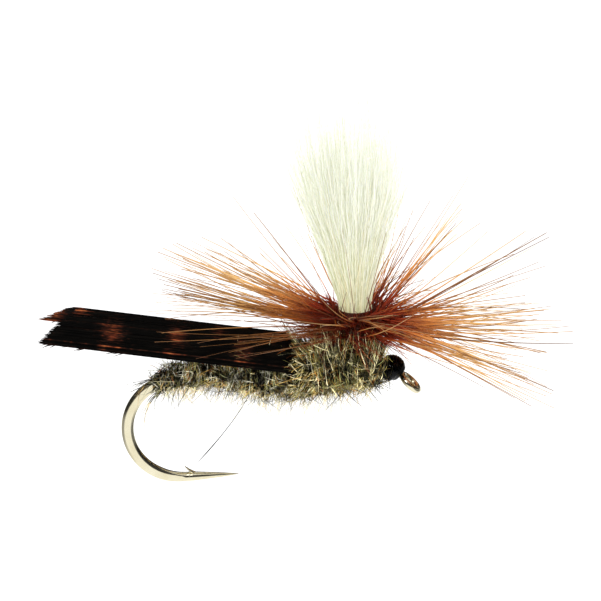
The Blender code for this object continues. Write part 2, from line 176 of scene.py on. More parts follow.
def resampled(line, places):
    """Points of a line at fractional indices."""
    index = np.arange(len(line))
    return np.stack([np.interp(places, index, line[:, axis]) for axis in range(3)], -1)


def store(mesh, name, values):
    """Keeps one number per vertex for the materials."""
    attribute = mesh.attributes.get(name) or mesh.attributes.new(name, "FLOAT", "POINT")
    attribute.data.foreach_set("value", np.asarray(values, np.float32))


def link(name, data):
    """Puts a mesh, light or camera in the scene."""
    item = bpy.data.objects.new(name, data)
    bpy.context.scene.collection.objects.link(item)
    return item


def joined(name, items):
    """Joins meshes that are one thing into one object."""
    with bpy.context.temp_override(active_object=items[0], selected_editable_objects=items,
                                   selected_objects=items, object=items[0]):
        bpy.ops.object.join()
    items[0].name = name
    return items[0]


def finish_piece(item, look, slot, *nodes):
    """Gives a piece its material and body, and hides the CAD nodes that it stands for. The slot is not
    used.
    """
    item.data.materials.clear()
    item.data.materials.append(look.material)
    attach(item, "root")
    if nodes:
        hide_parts(*nodes)


# ---- materials

def tone(red, green, blue):
    """A display colour, 0 to 255, as the linear colour that shaders take."""
    values = [channel / 255 for channel in (red, green, blue)]
    return tuple(v / 12.92 if v <= 0.04045 else ((v + 0.055) / 1.055) ** 2.4 for v in values) + (1.0,)


def grey(value):
    return (value, value, value, 1.0)


def add_node(tree, kind, inputs, **settings):
    """A shader node. Each value in inputs is an output to link or a constant."""
    node = tree.nodes.new("ShaderNode" + kind)
    for name, value in settings.items():
        setattr(node, name, value)
    for socket, value in inputs.items():
        if isinstance(value, bpy.types.NodeSocket):
            tree.links.new(value, node.inputs[socket])
        else:
            node.inputs[socket].default_value = value
    return node


def add_ramp(tree, factor, stops, stepped=False):
    """Maps 0 to 1 through the colours of (place, colour) stops."""
    node = add_node(tree, "ValToRGB", {"Fac": factor})
    node.color_ramp.interpolation = "CONSTANT" if stepped else "LINEAR"
    elements = node.color_ramp.elements
    elements[0].position, elements[0].color = stops[0]
    elements[1].position, elements[1].color = stops[-1]
    for position, colour in stops[1:-1]:
        elements.new(position).color = colour
    return node.outputs["Color"]


def add_mix(tree, factor, first, second, blend="MIX"):
    """Mixes two colours; each value is an output or a constant."""
    sockets = {0: factor, 6: first, 7: second}
    return add_node(tree, "Mix", sockets, data_type="RGBA", blend_type=blend).outputs[2]


class Look:
    """A Principled material, with short calls for the nodes that feed it."""

    def __init__(self, name, **values):
        self.material = bpy.data.materials.new(name)
        self.material.use_nodes = True
        self.tree = self.material.node_tree
        self.shader = self.tree.nodes["Principled BSDF"]
        for socket, value in values.items():
            self.shader.inputs[socket.replace("_", " ")].default_value = value

    def feed(self, socket, output):
        self.tree.links.new(output, self.shader.inputs[socket])

    def noise(self, scale, detail=2.0, stretch=(1.0, 1.0, 1.0)):
        """Noise whose cells are about 1/scale millimetres, longer along the axes with a low stretch."""
        place = add_node(self.tree, "TexCoord", {}).outputs["Object"]
        scales = [value * scale / MM for value in stretch]
        mapping = add_node(self.tree, "Mapping", {"Vector": place, "Scale": scales})
        inputs = {"Vector": mapping.outputs["Vector"], "Scale": 1.0, "Detail": detail}
        return add_node(self.tree, "TexNoise", inputs).outputs["Fac"]

    def ramp(self, factor, stops, stepped=False):
        return add_ramp(self.tree, factor, stops, stepped)

    def attribute(self, name, stops, stepped=False):
        """A ramp over the numbers that store() keeps."""
        node = add_node(self.tree, "Attribute", {}, attribute_name=name)
        return self.ramp(node.outputs["Fac"], stops, stepped)

    def times(self, first, second):
        return add_mix(self.tree, 1.0, first, second, "MULTIPLY")

    def colour(self, output, stops=None):
        """Feeds the base colour, through a ramp if there are stops."""
        self.feed("Base Color", self.ramp(output, stops) if stops else output)

    def roughness(self, factor, low, high):
        """Feeds the roughness from an output of 0 to 1."""
        node = add_node(self.tree, "MapRange", {"Value": factor, "To Min": low, "To Max": high})
        self.feed("Roughness", node.outputs["Result"])

    def bump(self, height, depth, strength=1.0):
        """Raises the surface by up to depth millimetres."""
        inputs = {"Height": height, "Strength": strength, "Distance": depth * MM}
        self.feed("Normal", add_node(self.tree, "Bump", inputs).outputs["Normal"])


def metal_look():
    """Bronzed wire with faint drawing marks along it."""
    look = Look("bronzed_hook_wire", Metallic=1.0, Roughness=0.2)
    drawn = look.noise(5.0, 3.0, (0.25, 1.0, 0.25))
    look.colour(drawn, [(0.3, tone(238, 228, 194)), (0.7, tone(248, 241, 212))])
    look.roughness(look.noise(9.0), 0.12, 0.24)
    look.bump(look.noise(30.0), 0.002, 0.3)
    return look


def hackle_look():
    """Barbs that go from red-brown roots to ginger, each a little darker or paler, partly by its own tone
    and partly by painted shade and painted highlight.
    """
    look = Look("ginger_hackle_barbs", Roughness=0.4, Specular_IOR_Level=0.25)
    shade = look.attribute("along", [
        (0.0, tone(102, 23, 9)), (0.13, tone(150, 48, 15)), (0.27, tone(204, 125, 55)),
        (0.5, tone(214, 164, 98)), (1.0, tone(186, 144, 104))])
    # Each barb's tone differs at random; the dark end is also painted shade and the pale end a painted
    # highlight.
    vary = look.attribute("strand", [
        (0.0, (0.26, 0.18, 0.13, 1.0)), (0.22, (0.58, 0.48, 0.4, 1.0)), (0.5, grey(1.0)),
        (1.0, (1.35, 1.55, 1.9, 1.0))])
    look.colour(look.times(shade, vary))
    look.roughness(look.noise(6.0), 0.28, 0.45)
    return look


def quill_look():
    look = Look("hackle_quill", Roughness=0.35)
    look.colour(look.noise(4.0), [(0.35, tone(58, 20, 12)), (0.7, tone(96, 42, 22))])
    look.bump(look.noise(20.0), 0.004)
    return look


# White hair passes light on to the hairs below it, which a faint glow stands in for.
HAIR_GLOW = 0.13


def hair_look():
    """White hair with a tinge of yellow-green, darker towards the roots as painted shade at the foot of the
    bundle.
    """
    look = Look("calf_hair", Roughness=0.5, Specular_IOR_Level=0.2, Emission_Strength=HAIR_GLOW)
    # Painted shade: the colour darkens towards the roots at the bundle's foot.
    shade = look.attribute("along", [
        (0.0, tone(150, 132, 80)), (0.12, tone(216, 206, 152)), (0.3, tone(245, 244, 216)),
        (0.6, tone(250, 252, 242)), (0.88, tone(251, 253, 250)), (1.0, tone(238, 242, 234))])
    vary = look.attribute("strand", [
        (0.0, tone(222, 222, 198)), (0.3, tone(244, 245, 234)), (0.8, grey(1.0)),
        (1.0, tone(255, 243, 222))])
    colour = look.times(shade, vary)
    look.colour(colour)
    look.feed("Emission Color", colour)
    look.roughness(look.noise(8.0), 0.35, 0.5)
    return look


def packed_hair_look():
    """The same hair seen as one mass of streaks."""
    look = Look("packed_calf_hair", Roughness=0.7, Specular_IOR_Level=0.2, Emission_Strength=HAIR_GLOW)
    streaks = look.noise(9.0, 3.0, (1.0, 1.0, 0.08))
    colour = look.ramp(streaks, [(0.3, tone(232, 231, 196)), (0.65, tone(246, 246, 218))])
    look.colour(colour)
    look.feed("Emission Color", colour)
    look.bump(streaks, 0.06)
    return look


# The colours of single hairs, from dark underfur to pale and rusty guard hairs.
FUR_TONES = [
    (0.00, tone(9, 7, 3)), (0.28, tone(50, 48, 25)), (0.40, tone(120, 118, 74)),
    (0.54, tone(164, 168, 124)), (0.65, tone(190, 180, 118)), (0.74, tone(208, 172, 110)),
    (0.83, tone(255, 250, 224)), (0.972, tone(190, 112, 54)),
]


def fur_look(name, lit_tint, pale_tips):
    """Hairs in clumps of painted light and painted shade, with tips that stay lit, as painted light, by the
    share pale_tips.
    """
    look = Look(name, Roughness=0.6, Specular_IOR_Level=0.12)
    shade = look.attribute("strand", FUR_TONES, stepped=True)
    # Painted shade and painted light: noise darkens clumps of fur nearly to black and brightens the rest.
    mottle = look.ramp(look.noise(1.5, 3.0), [(0.43, grey(0.08)), (0.6, lit_tint)])
    # Painted light: towards their tips the hairs leave the painted shade for the lit colour.
    tips = look.attribute("along", [(0.55, grey(0.0)), (1.0, grey(pale_tips))])
    mottle = add_mix(look.tree, tips, mottle, lit_tint)
    look.colour(look.times(shade, mottle))
    look.roughness(look.noise(12.0), 0.45, 0.65)
    return look


def felt_look():
    """The near-black of the packed dubbing: painted shade for the depth between the hairs."""
    look = Look("dubbing_core", Roughness=0.9, Specular_IOR_Level=0.1)
    look.colour(look.noise(6.0, 4.0), [(0.3, tone(8, 6, 3)), (0.7, tone(28, 24, 14))])
    look.bump(look.noise(18.0, 4.0), 0.05)
    return look


def wing_look():
    """Near-black quill with rusty bars and fine streaks along its barbs."""
    look = Look("mottled_wing_quill", Roughness=0.5, Specular_IOR_Level=0.04)
    shade = look.attribute("mottle", [
        (0.22, tone(4, 3, 2)), (0.45, tone(30, 14, 8)), (0.7, tone(76, 32, 17)),
        (1.0, tone(134, 74, 40))])
    vary = look.attribute("strand", [(0.0, grey(0.4)), (0.7, grey(1.0)), (1.0, grey(2.2))])
    streaks = look.ramp(look.noise(7.0, 3.0, (0.07, 1.0, 1.0)), [(0.4, grey(0.5)), (0.66, grey(2.0))])
    look.colour(look.times(look.times(shade, vary), streaks))
    look.roughness(look.noise(5.0, 2.0, (0.1, 1.0, 1.0)), 0.36, 0.6)
    look.bump(look.noise(16.0, 2.0, (0.12, 1.0, 1.0)), 0.008)
    return look


def thread_look(name, dark, light, roughness, sheen):
    look = Look(name, Roughness=roughness, Specular_IOR_Level=sheen)
    look.colour(look.noise(14.0, 3.0), [(0.35, dark), (0.7, light)])
    look.roughness(look.noise(7.0), roughness * 0.8, roughness * 1.2)
    look.bump(look.noise(40.0, 3.0), 0.006)
    return look


def varnish_look():
    look = Look("head_varnish", Roughness=0.07, IOR=1.25, Transmission_Weight=1.0)
    look.colour(look.noise(3.0), [(0.3, tone(44, 52, 62)), (0.7, tone(80, 92, 108))])
    look.bump(look.noise(6.0), 0.01)
    return look


# ---- hook

def arc(centre_x, centre_z, radius, angle):
    """Points round a circle in the hook's plane."""
    x, z = centre_x + radius * np.cos(angle), centre_z + radius * np.sin(angle)
    return np.stack((x, np.zeros_like(x), z), -1)


def neck_path():
    """From inside the eye ring up round the corner to the shank."""
    corner_x = -SHANK_Z / tan(EYE_DROOP) - CORNER_RADIUS * tan(EYE_DROOP / 2)
    angle = np.linspace(pi / 2 - EYE_DROOP, pi / 2, 12)
    corner = arc(corner_x, SHANK_Z - CORNER_RADIUS, CORNER_RADIUS, angle)
    straight = np.linspace(EYE_DOWN * -EYE_RING_RADIUS, corner[0], 5)[:-1]
    return np.concatenate((straight, corner))


def forging(angle):
    """How far the wire is pressed flat at an angle round the bend, 0 to 1."""
    rise = clamp((angle - FORGED_START) / FORGED_RISE)
    fall = clamp((FORGED_STOP - angle) / FORGED_FALL)
    return np.minimum(rise, fall)


def make_hook_wire():
    """The bent wire, whose section goes from round to the flat-sided forging of the bend."""
    neck = neck_path()
    shank = np.linspace(neck[-1], (BEND_X, 0.0, SHANK_Z), SHANK_STEPS)[1:-1]
    bend_angle = np.linspace(pi / 2, pi * 1.5, BEND_STEPS)
    bend = arc(BEND_X, BEND_Z, BEND_RADIUS, bend_angle)
    bottom = bend[-1]
    spear = np.linspace(bottom, bottom + (SPEAR_LENGTH, 0.0, 0.0), SHANK_STEPS)[1:]
    path = np.concatenate((neck, shank, bend, spear))
    amount = np.pad(forging(bend_angle), (len(neck) + len(shank), len(spear)))
    radius = WIRE_RADIUS + (FORGED_RADIUS - WIRE_RADIUS) * amount
    radius[:len(neck)] = np.linspace(EYE_WIRE_RADIUS * 0.85, WIRE_RADIUS, len(neck))
    run = clamp((spear[:, 0] - bottom[0] - SPEAR_ROUND) / (SPEAR_LENGTH - SPEAR_ROUND))
    radius[-len(spear):] = WIRE_RADIUS * (1 - run) ** 0.75 + POINT_RADIUS
    pressed = WIRE_RADIUS + (FORGED_HALF_THICKNESS - WIRE_RADIUS) * np.minimum(1, amount * 1.6)
    limit = np.where(amount > 0, pressed, 1.0)
    wire = tube("hook_wire", path, radius, HOOK_SIDES)
    press(wire.data, limit, radius, amount)
    return wire


def press(mesh, limits, radii, amounts):
    """Flattens the two sides of the swept wire, and slopes the flats' edges where it is forged."""
    places = np.empty(len(mesh.vertices) * 3, np.float32)
    mesh.vertices.foreach_get("co", places)
    places = places.reshape(-1, HOOK_SIDES, 3)
    from_middle = radii[:, None] * np.abs(np.sin(np.arange(HOOK_SIDES) * tau / HOOK_SIDES))
    slope = FORGED_SLOPE * np.maximum(0, from_middle - FORGED_FLAT) * amounts[:, None]
    reach = (limits[:, None] - slope) * MM
    over = np.abs(places[..., 1]) - reach
    flat = np.sign(places[..., 1]) * (reach + over * 0.06)
    places[..., 1] = np.where(over > 0, flat, places[..., 1])
    mesh.vertices.foreach_set("co", places.ravel())


def make_eye():
    """The ring eye: the wire's tapered end bent round until it meets the neck again."""
    angle = np.linspace(-pi * 0.97, pi * 0.99, 72)
    ring = EYE_RING_RADIUS * (np.cos(angle)[:, None] * EYE_DOWN + np.sin(angle)[:, None] * Y_AXIS)
    radius = EYE_WIRE_RADIUS * np.interp(angle, (-pi, -2.2, pi), (0.72, 0.96, 1.0))
    return tube("eye_ring", ring, radius, 24, np.cross(EYE_DOWN, Y_AXIS))


def make_barb():
    """The barb: a sliver cut up from the spear and bent back towards the bend."""
    bottom = np.array((BEND_X, 0.0, BEND_BOTTOM))
    t = shares(12)[:, None]
    path = curved_run(bottom + BARB_ROOT, bottom + BARB_KNEE, bottom + BARB_TIP, t)
    taper = 0.17 * (1 - t[:, 0]) ** 0.8 + 0.008
    return tubes("point_barb", path[None], taper * 0.9, taper * 0.75, lateral=Y_AXIS, sides=10)


def make_hook():
    return joined("hook_wire", [make_hook_wire(), make_eye(), make_barb()])


# ---- dubbed body

TAIL_LENGTH = (TAIL_ANGLE - pi / 2) * BEND_RADIUS
BODY_LENGTH = TAIL_LENGTH + BODY_FRONT - BEND_X
THORAX_START = TAIL_LENGTH + THORAX_REAR - BEND_X
BODY_STATIONS = (0.0, 0.6, 2.2, 3.1, 4.1, 4.7, 5.6, 6.4, 7.9, 8.1, 8.7, 9.8, 11.2, 12.0,
                 BODY_LENGTH, 13.1)
BODY_RADII = (0.36, 0.42, 0.50, 0.55, 0.64, 0.78, 1.02, 1.08, 1.08, 1.15, 1.21, 1.29, 1.29, 1.19,
              0.98, 0.66)
CORE_SHARE = 0.86
THORAX_LIFT = 0.26
ABDOMEN_LIFT = 0.16
# How far along the body the wing's tent stands clear of it, and where it falls off to the head.
TENT_START = 0.4
TENT_END = 5.6
FRONT_START = 11.4


def body_radius(way):
    """The dubbing's core radius at a distance along the body from its tail end."""
    lumps = 0.05 * np.sin(way * 7.3) + 0.04 * np.sin(way * 3.1 + 1.0)
    return np.interp(way, BODY_STATIONS, BODY_RADII) * (1 + lumps)


def body_frame(way):
    """The body's centre line and its upward direction at distances along it."""
    angle = pi / 2 + np.maximum(TAIL_LENGTH - way, 0) / BEND_RADIUS
    centre = arc(BEND_X, BEND_Z, BEND_RADIUS, angle)
    centre[..., 0] += np.maximum(way - TAIL_LENGTH, 0)
    centre[..., 2] += THORAX_LIFT * clamp((way - THORAX_START) / 1.5)
    centre[..., 2] += ABDOMEN_LIFT * clamp((way - 0.5) / 1.2) * clamp((6.0 - way) / 2.0)
    return centre, arc(0.0, 0.0, 1.0, angle)


def on_body(way, turn, distance):
    """Points round the body: turn 0 is the far side, a quarter turn is the top."""
    centre, up = body_frame(way)
    return centre + distance[..., None] * (np.cos(turn)[..., None] * Y_AXIS + np.sin(turn)[..., None] * up)


def make_core(name, start, stop):
    """The felted core of the dubbing, a dark mass that is painted shade for the dark between the hairs."""
    way = np.linspace(start, stop, 60)
    return tube(name, body_frame(way)[0], body_radius(way) * CORE_SHARE, 28)


# Hairs in one tuft of dubbing, which mostly share a colour and a direction.
TUFT_SIZE = 6


def fur_by_place(rng, way, top, rise, drift):
    """Raises the hairs round the post, under the wing's tent and on the thorax's crest."""
    count = len(way)
    by_post = clamp(1.5 - np.abs(body_frame(way)[0][:, 0] - POST_X)) * (top > 0.5)
    in_tent = clamp((way - TENT_START) / 0.8) * clamp(TENT_END - way) * (top > 0.3)
    ends = np.clip(THORAX_START + 2.6 - way, 0, 1.2) + np.clip(way - FRONT_START, 0, 0.7)
    crest = clamp((way - THORAX_START) / 0.3) * (0.55 + ends) * (top > 0.3)
    forward = (way > FRONT_START + 0.2) & (top > 0.3)
    drift = drift + forward * rng.uniform(0.0, 0.8, count)
    rise = rise + np.maximum(by_post, in_tent) * rng.uniform(0.0, 0.75, count)
    rise = rise + crest * rng.uniform(0.0, 1.0, count) ** 0.7
    return rise, drift


def make_fur(name, start, stop, count, seed, lift, girth):
    """Fur wound round the body: hairs that hug it, hairs that loop off it and hairs that stand off."""
    rng = default_rng(seed)
    t = shares(7)
    tufts = count // TUFT_SIZE
    tuft = rng.integers(0, tufts, count)

    def by_tuft(shared, spread):
        return shared[tuft] + rng.normal(0, spread, count)

    way = by_tuft(rng.uniform(start, stop, tufts), 0.07).clip(start, stop)
    turn = by_tuft(rng.uniform(0, tau, tufts), 0.09)
    radius = body_radius(way)
    length = rng.gamma(6.0, girth / 6.0, count)
    kind = rng.random(tufts)[tuft]
    loose, looped = kind < 0.30, kind > 0.80
    sweep = np.where(loose, by_tuft(rng.normal(0, 0.5, tufts), 0.15),
                     rng.choice((-1, 1), tufts)[tuft] * length / radius)
    sweep = np.clip(sweep, -2.2, 2.2)
    rise = np.where(loose, length * rng.uniform(0.3, 0.85, count), rng.gamma(2.0, lift / 2.0, count))
    drift = by_tuft(rng.normal(-0.03, 0.25, tufts), 0.08)
    drift += loose * by_tuft(rng.normal(-0.22, 0.45, tufts), 0.12) * length
    top = np.sin(turn + sweep)
    rise *= np.where((way > TENT_END) & (way < THORAX_START) & (top > 0.2), 0.3, 1.0)
    rise *= np.where((way > THORAX_START) & (top < 0.0), 0.55, 1.0)
    arch = looped * rng.uniform(0.12, 0.42, count) * (0.5 + lift * 2.5)
    rise, drift = fur_by_place(rng, way, top, rise, drift)
    distance = radius[:, None] * rng.uniform(0.84, 1.0, (count, 1)) + rise[:, None] * t ** 1.5
    distance = distance + arch[:, None] * np.sin(pi * t)
    curl = rng.normal(0, 0.09, (count, 1)) * np.sin(t * rng.uniform(3.0, 7.0, (count, 1)))
    ways = way[:, None] + drift[:, None] * t + curl
    paths = on_body(ways, turn[:, None] + sweep[:, None] * t, distance)
    strand = np.where(rng.random(count) < 0.6, rng.random(tufts)[tuft], rng.random(count))
    strand = np.where(loose & (top < -0.2) & (rng.random(count) < 0.8), 0.5 + 0.45 * strand, strand)
    width = rng.gamma(4.0, 0.0043, count) * np.where(strand > 0.83, 1.3, 1.0)
    width = width.clip(0.008, 0.032)[:, None] * (1 - 0.7 * t ** 2)
    return tubes(name, paths, width, strand=strand)


def make_collar_fur():
    """Fur at the thorax's rear that lies back over the band and the front of the wing."""
    rng = default_rng(13)
    count, t = 1300, shares(9)
    way = THORAX_START + rng.uniform(-0.1, 0.6, count)
    turn = rng.uniform(0, tau, count)
    reach = rng.gamma(4.0, 0.2, count).clip(0.2, 1.9)
    curl = rng.normal(0, 0.08, (count, 1)) * np.sin(t * rng.uniform(3.0, 8.0, (count, 1)))
    rise = np.where(np.sin(turn) > 0.4, 1.5, np.where(np.sin(turn) < -0.2, 0.45, 1.0))
    outward = reach * rng.uniform(0.35, 1.05, count) * rise
    distance = 1.08 + outward[:, None] * t ** 1.3 + curl
    turns = turn[:, None] + rng.normal(0, 0.45, (count, 1)) * t + curl * 0.5
    paths = on_body(way[:, None] - reach[:, None] * t, turns, distance)
    width = rng.gamma(4.0, 0.0045, count).clip(0.008, 0.032)[:, None] * (1 - 0.7 * t ** 2)
    return tubes("collar_fur", paths, width, strand=rng.random(count))


# Hairs on the abdomen and on the thorax, and wisps above and below the head.
GUARD_HAIRS = (82, 44)
LYING_HAIRS = (36, 60)
FRONT_WISPS = (52, 18)


def on_both_furs(rng, start, stop, counts):
    """Random places along the abdomen and along the thorax."""
    return np.concatenate((rng.uniform(start, THORAX_START, counts[0]),
                           rng.uniform(THORAX_START, stop, counts[1])))


def make_guard_hairs():
    """Stiff dark guard hairs that stand out below and behind the body."""
    rng = default_rng(41)
    count, t = sum(GUARD_HAIRS), shares(10)
    way = on_both_furs(rng, 0.1, BODY_LENGTH, GUARD_HAIRS)
    turn = rng.uniform(pi * 0.95, pi * 2.05, count)
    length = rng.uniform(0.5, 1.6, count)
    lean = length * rng.normal(-0.2, 0.55, count)
    bow = rng.normal(0, 0.35, (count, 1)) * length[:, None] * t ** 2
    radius = body_radius(way)
    distance = radius[:, None] * 0.8 + length[:, None] * t
    turns = turn[:, None] + rng.normal(0, 0.4, (count, 1)) * t
    paths = on_body(way[:, None] + lean[:, None] * t ** 1.3 + bow, turns, distance)
    swell = np.sin(clamp(t * 0.85 + 0.28) * pi)
    width = rng.uniform(0.013, 0.030, (count, 1)) * swell + 0.004
    return tubes("guard_hairs", paths, width, strand=rng.random(count) * 0.5)


def make_stray_hairs(name, count, seed, reach, stray, bend, width, tones):
    """Soft hairs that trail from the belly and, for the share stray, from the back.

    reach and width are ranges, bend is how far they curve, and tones is their range of FUR_TONES.
    """
    rng = default_rng(seed)
    t = shares(12)
    way = rng.uniform(0.8, BODY_LENGTH - 0.3, count)
    below = rng.uniform(1.05, 1.95, count)
    turn = np.where(rng.random(count) < stray, rng.uniform(0.2, 0.9, count), below) * pi
    start = on_body(way, turn, body_radius(way) * 0.95)
    outward = unit(start - body_frame(way)[0])
    length = rng.uniform(*reach, count)
    heading = unit(outward + rng.normal(0, 0.45, (count, 3)) + (-0.3, 0.0, -0.1))
    bow = rng.normal(0, bend, (count, 3)) * length[:, None]
    paths = bowed_runs(start, heading, length, bow, t)
    widths = rng.uniform(*width, (count, 1)) * (1 - 0.75 * t)
    return tubes(name, paths, widths, strand=rng.uniform(*tones, count))


def make_lying_hairs():
    """Long pale and tan hairs that lie across the near side and the back of the dubbing."""
    rng = default_rng(43)
    count, t = sum(LYING_HAIRS), shares(12)
    way = on_both_furs(rng, 1.5, BODY_LENGTH - 0.5, LYING_HAIRS)
    turn = rng.uniform(0.45, 1.45, count) * pi
    drift = rng.normal(0, 1.0, count)
    turns = turn[:, None] + rng.normal(0, 0.6, (count, 1)) * t
    ways = way[:, None] + drift[:, None] * t
    bow = rng.normal(0, 0.24, (count, 1)) * np.sin(pi * t)
    distance = body_radius(ways) * 1.02 + 0.1 + np.abs(bow) + rng.uniform(0, 0.3, (count, 1)) * t ** 2
    swell = np.sin(clamp(t * 0.8 + 0.3) * pi)
    width = rng.uniform(0.008, 0.023, (count, 1)) * swell + 0.004
    paths = on_body(ways + bow, turns, distance)
    return tubes("lying_hairs", paths, width, strand=rng.uniform(0.64, 0.97, count))


def make_front_wisps():
    """Dark and pale hairs that cross the head and stick out by the eye."""
    rng = default_rng(44)
    count, t = sum(FRONT_WISPS), shares(10)
    way = rng.uniform(BODY_LENGTH - 0.9, BODY_LENGTH + 0.1, count)
    above, below = rng.uniform(0.15, 0.75, count), rng.uniform(1.2, 1.8, count)
    turn = np.where(np.arange(count) < FRONT_WISPS[0], above, below) * pi
    start = on_body(way, turn, body_radius(way) * 0.9)
    outward = unit(start - body_frame(way)[0])
    heading = unit(outward * 0.6 + rng.normal(0, 0.3, (count, 3)) + (0.75, 0.0, -0.05))
    length = rng.uniform(0.4, 1.35, count)
    bow = rng.normal(0, 0.2, (count, 3)) * length[:, None] - (0.0, 0.0, 0.12)
    paths = bowed_runs(start, heading, length, bow, t)
    widths = rng.uniform(0.010, 0.020, (count, 1)) * (1 - 0.7 * t)
    return tubes("front_wisps", paths, widths, strand=rng.random(count) * 0.9)


def make_long_hair():
    """One long guard hair that hangs from under the thorax and thickens towards its tip."""
    t = shares(24)[:, None]
    start = np.array((-8.9, -0.5, SHANK_Z - 0.9))
    bend = np.array((-9.9, -0.7, SHANK_Z - 2.6))
    end = np.array((-12.05, -0.8, SHANK_Z - 4.75))
    width = np.interp(t[:, 0], (0.0, 0.6, 0.85, 1.0), (0.021, 0.024, 0.038, 0.012))
    return tubes("long_hair", curved_run(start, bend, end, t)[None], width, strand=[0.1])


# ---- wing

WING_SADDLE = BAND_RADIUS - 0.25
WING_SADDLE_ANGLE = radians(82.0)
WING_RISE = tan(radians(10.4))
WING_HALF_WIDTH = 1.86
WING_DEPTH = 1.66
WING_BULGE = 0.24
WING_TENT_LENGTH = 0.75
WING_SLANT = 2.2
WING_RIDGE_END = WING_REAR + 2.2
WING_SLIP_WIDTH = 2.75
WING_BARBS = 62
BARB_OVERLAP = 1.65
BARB_SIDES = 6
# Rusty bars: distance from the rear, place across, half-length, half-width across and strength.
WING_BARS = ((2.3, 0.92, 0.5, 0.12, 0.9), (4.1, 0.45, 0.62, 0.30, 0.7), (3.6, 0.10, 0.3, 0.12, 0.6),
             (7.6, 0.55, 0.55, 0.26, 0.75), (7.2, 0.14, 0.4, 0.10, 0.55),
             (9.9, 0.8, 0.4, 0.16, 0.6), (11.2, 0.35, 0.6, 0.3, 0.55))
FRAY_PLACES = (0.9, 1.2, 1.6, 2.3, 2.8, 4.4, 4.9, 7.0, 10.0)


def on_wing(x, across, side):
    """A point of a quill slip: across runs from its lower edge, 0, up to the ridge, 1."""
    angle = WING_SADDLE_ANGLE * (1 - across)
    ridge = WING_TOP + (WING_RIDGE_END - x) * WING_RISE
    bulge = WING_BULGE * np.sin(pi * across)
    tent_y = WING_HALF_WIDTH * (1 - across) + bulge
    tent_z = ridge - WING_DEPTH * (1 - across) + bulge
    blend = clamp((BAND_REAR - x) / WING_TENT_LENGTH)
    blend = blend * blend * (3 - 2 * blend)
    y = WING_SADDLE * np.sin(angle) * (1 - blend) + tent_y * blend
    z = (SHANK_Z + WING_SADDLE * np.cos(angle)) * (1 - blend) + tent_z * blend
    return np.stack((x, side * (y + 0.03), z), -1)


def wing_end(across, side):
    """The rear edge slants forwards up to the ridge, and is rounded on the far slip."""
    slant = across if side < 0 else 1 - (1 - across) ** 1.9
    return WING_REAR + WING_SLANT * slant - (0.2 if side > 0 else 0.0)


def wing_mottle(x, across, side, seed):
    """How far each place is from black towards rust."""
    rng = default_rng(seed + 100)
    behind = x - WING_REAR
    amount = np.zeros_like(x)
    for bar, height, length, width, strength in WING_BARS:
        near = ((behind - bar) / length) ** 2 + ((across - height) / width) ** 2
        amount = np.maximum(amount, strength * np.exp(-near * 0.8) * 0.9)
    shift = rng.normal(0, 0.10, x.shape) + rng.normal(0, 0.13, (x.shape[0], 1))
    rear = clamp((2.0 - behind) / 1.2) * (0.75 if side > 0 else 0.0)
    return clamp(np.maximum(amount, rear) + shift)


def make_wing_slip(name, side, seed):
    """A strip of quill: its barbs lie side by side and fray a little at the rear."""
    rng = default_rng(seed)
    t = shares(90)
    home = (np.arange(WING_BARBS) + 0.5) / WING_BARBS
    end = wing_end(home, side) + rng.normal(0, 0.035, WING_BARBS)
    x = WING_FRONT + (end - WING_FRONT)[:, None] * t
    split = 0.009 * np.sin(home * 23.0 + seed) + rng.normal(0, 0.002, WING_BARBS)
    across = home[:, None] + split[:, None] * t ** 4
    wave = 0.003 * np.sin(t * 9.0 + rng.uniform(0, tau, WING_BARBS)[:, None])
    across = np.clip(across + wave, -0.01, 1.01)
    paths = on_wing(x, across, side)
    lateral = on_wing(x, across + 0.01, side) - paths
    outward = unit(np.cross(np.gradient(paths, axis=1), lateral)) * -side
    paths = paths + outward * (rng.normal(0.0, 0.012, WING_BARBS)[:, None] * (0.3 + t))[..., None]
    left = (1 - t) * (WING_FRONT - WING_REAR)
    taper = np.clip(left / 0.35, 0.10, 1) ** 0.6
    width = 0.5 * WING_SLIP_WIDTH / WING_BARBS * BARB_OVERLAP * taper
    width = width * rng.uniform(0.9, 1.1, WING_BARBS)[:, None]
    slip = tubes(name, paths, width, 0.026 * taper, lateral=lateral, sides=BARB_SIDES,
                 strand=rng.random(WING_BARBS))
    store(slip.data, "mottle", np.repeat(wing_mottle(x, across, side, seed).ravel(), BARB_SIDES))
    return slip


def make_wing_frays(name, side, seed):
    """Loose barb tips that stick out below the slip's lower edge."""
    rng = default_rng(seed)
    count, t = 14, shares(10)
    start = WING_REAR + rng.choice(FRAY_PLACES, count) + rng.normal(0, 0.12, count)
    reach = rng.uniform(0.5, 1.0, count)
    x = start[:, None] - reach[:, None] * t
    across = 0.03 - rng.uniform(0.05, 0.13, (count, 1)) * t ** 1.5
    paths = on_wing(x, across, side)
    width = 0.04 * (1 - t) ** 0.7 + 0.003
    frays = tubes(name, paths, width, sides=4, strand=rng.random(count))
    store(frays.data, "mottle", np.full(len(frays.data.vertices), 0.45))
    return frays


# ---- thread, post and hackle

STEPS_PER_TURN = 26


def wound_thread(name, line, radii, up, turns, thickness):
    """Thread wound round a line. radii and up are one value, or one for each point of the line."""
    t = shares(int(turns * STEPS_PER_TURN))
    places = t * (len(line) - 1)
    centre = resampled(line, places)
    up = unit(resampled(np.broadcast_to(up, line.shape), places))
    angle = t * turns * tau
    distance = np.interp(places, np.arange(len(line)), np.broadcast_to(radii, len(line)))
    path = centre + distance[:, None] * (np.cos(angle)[:, None] * Y_AXIS + np.sin(angle)[:, None] * up)
    axis = unit(np.gradient(centre, axis=0))
    return tube(name, path, thickness, 6, axis[None])


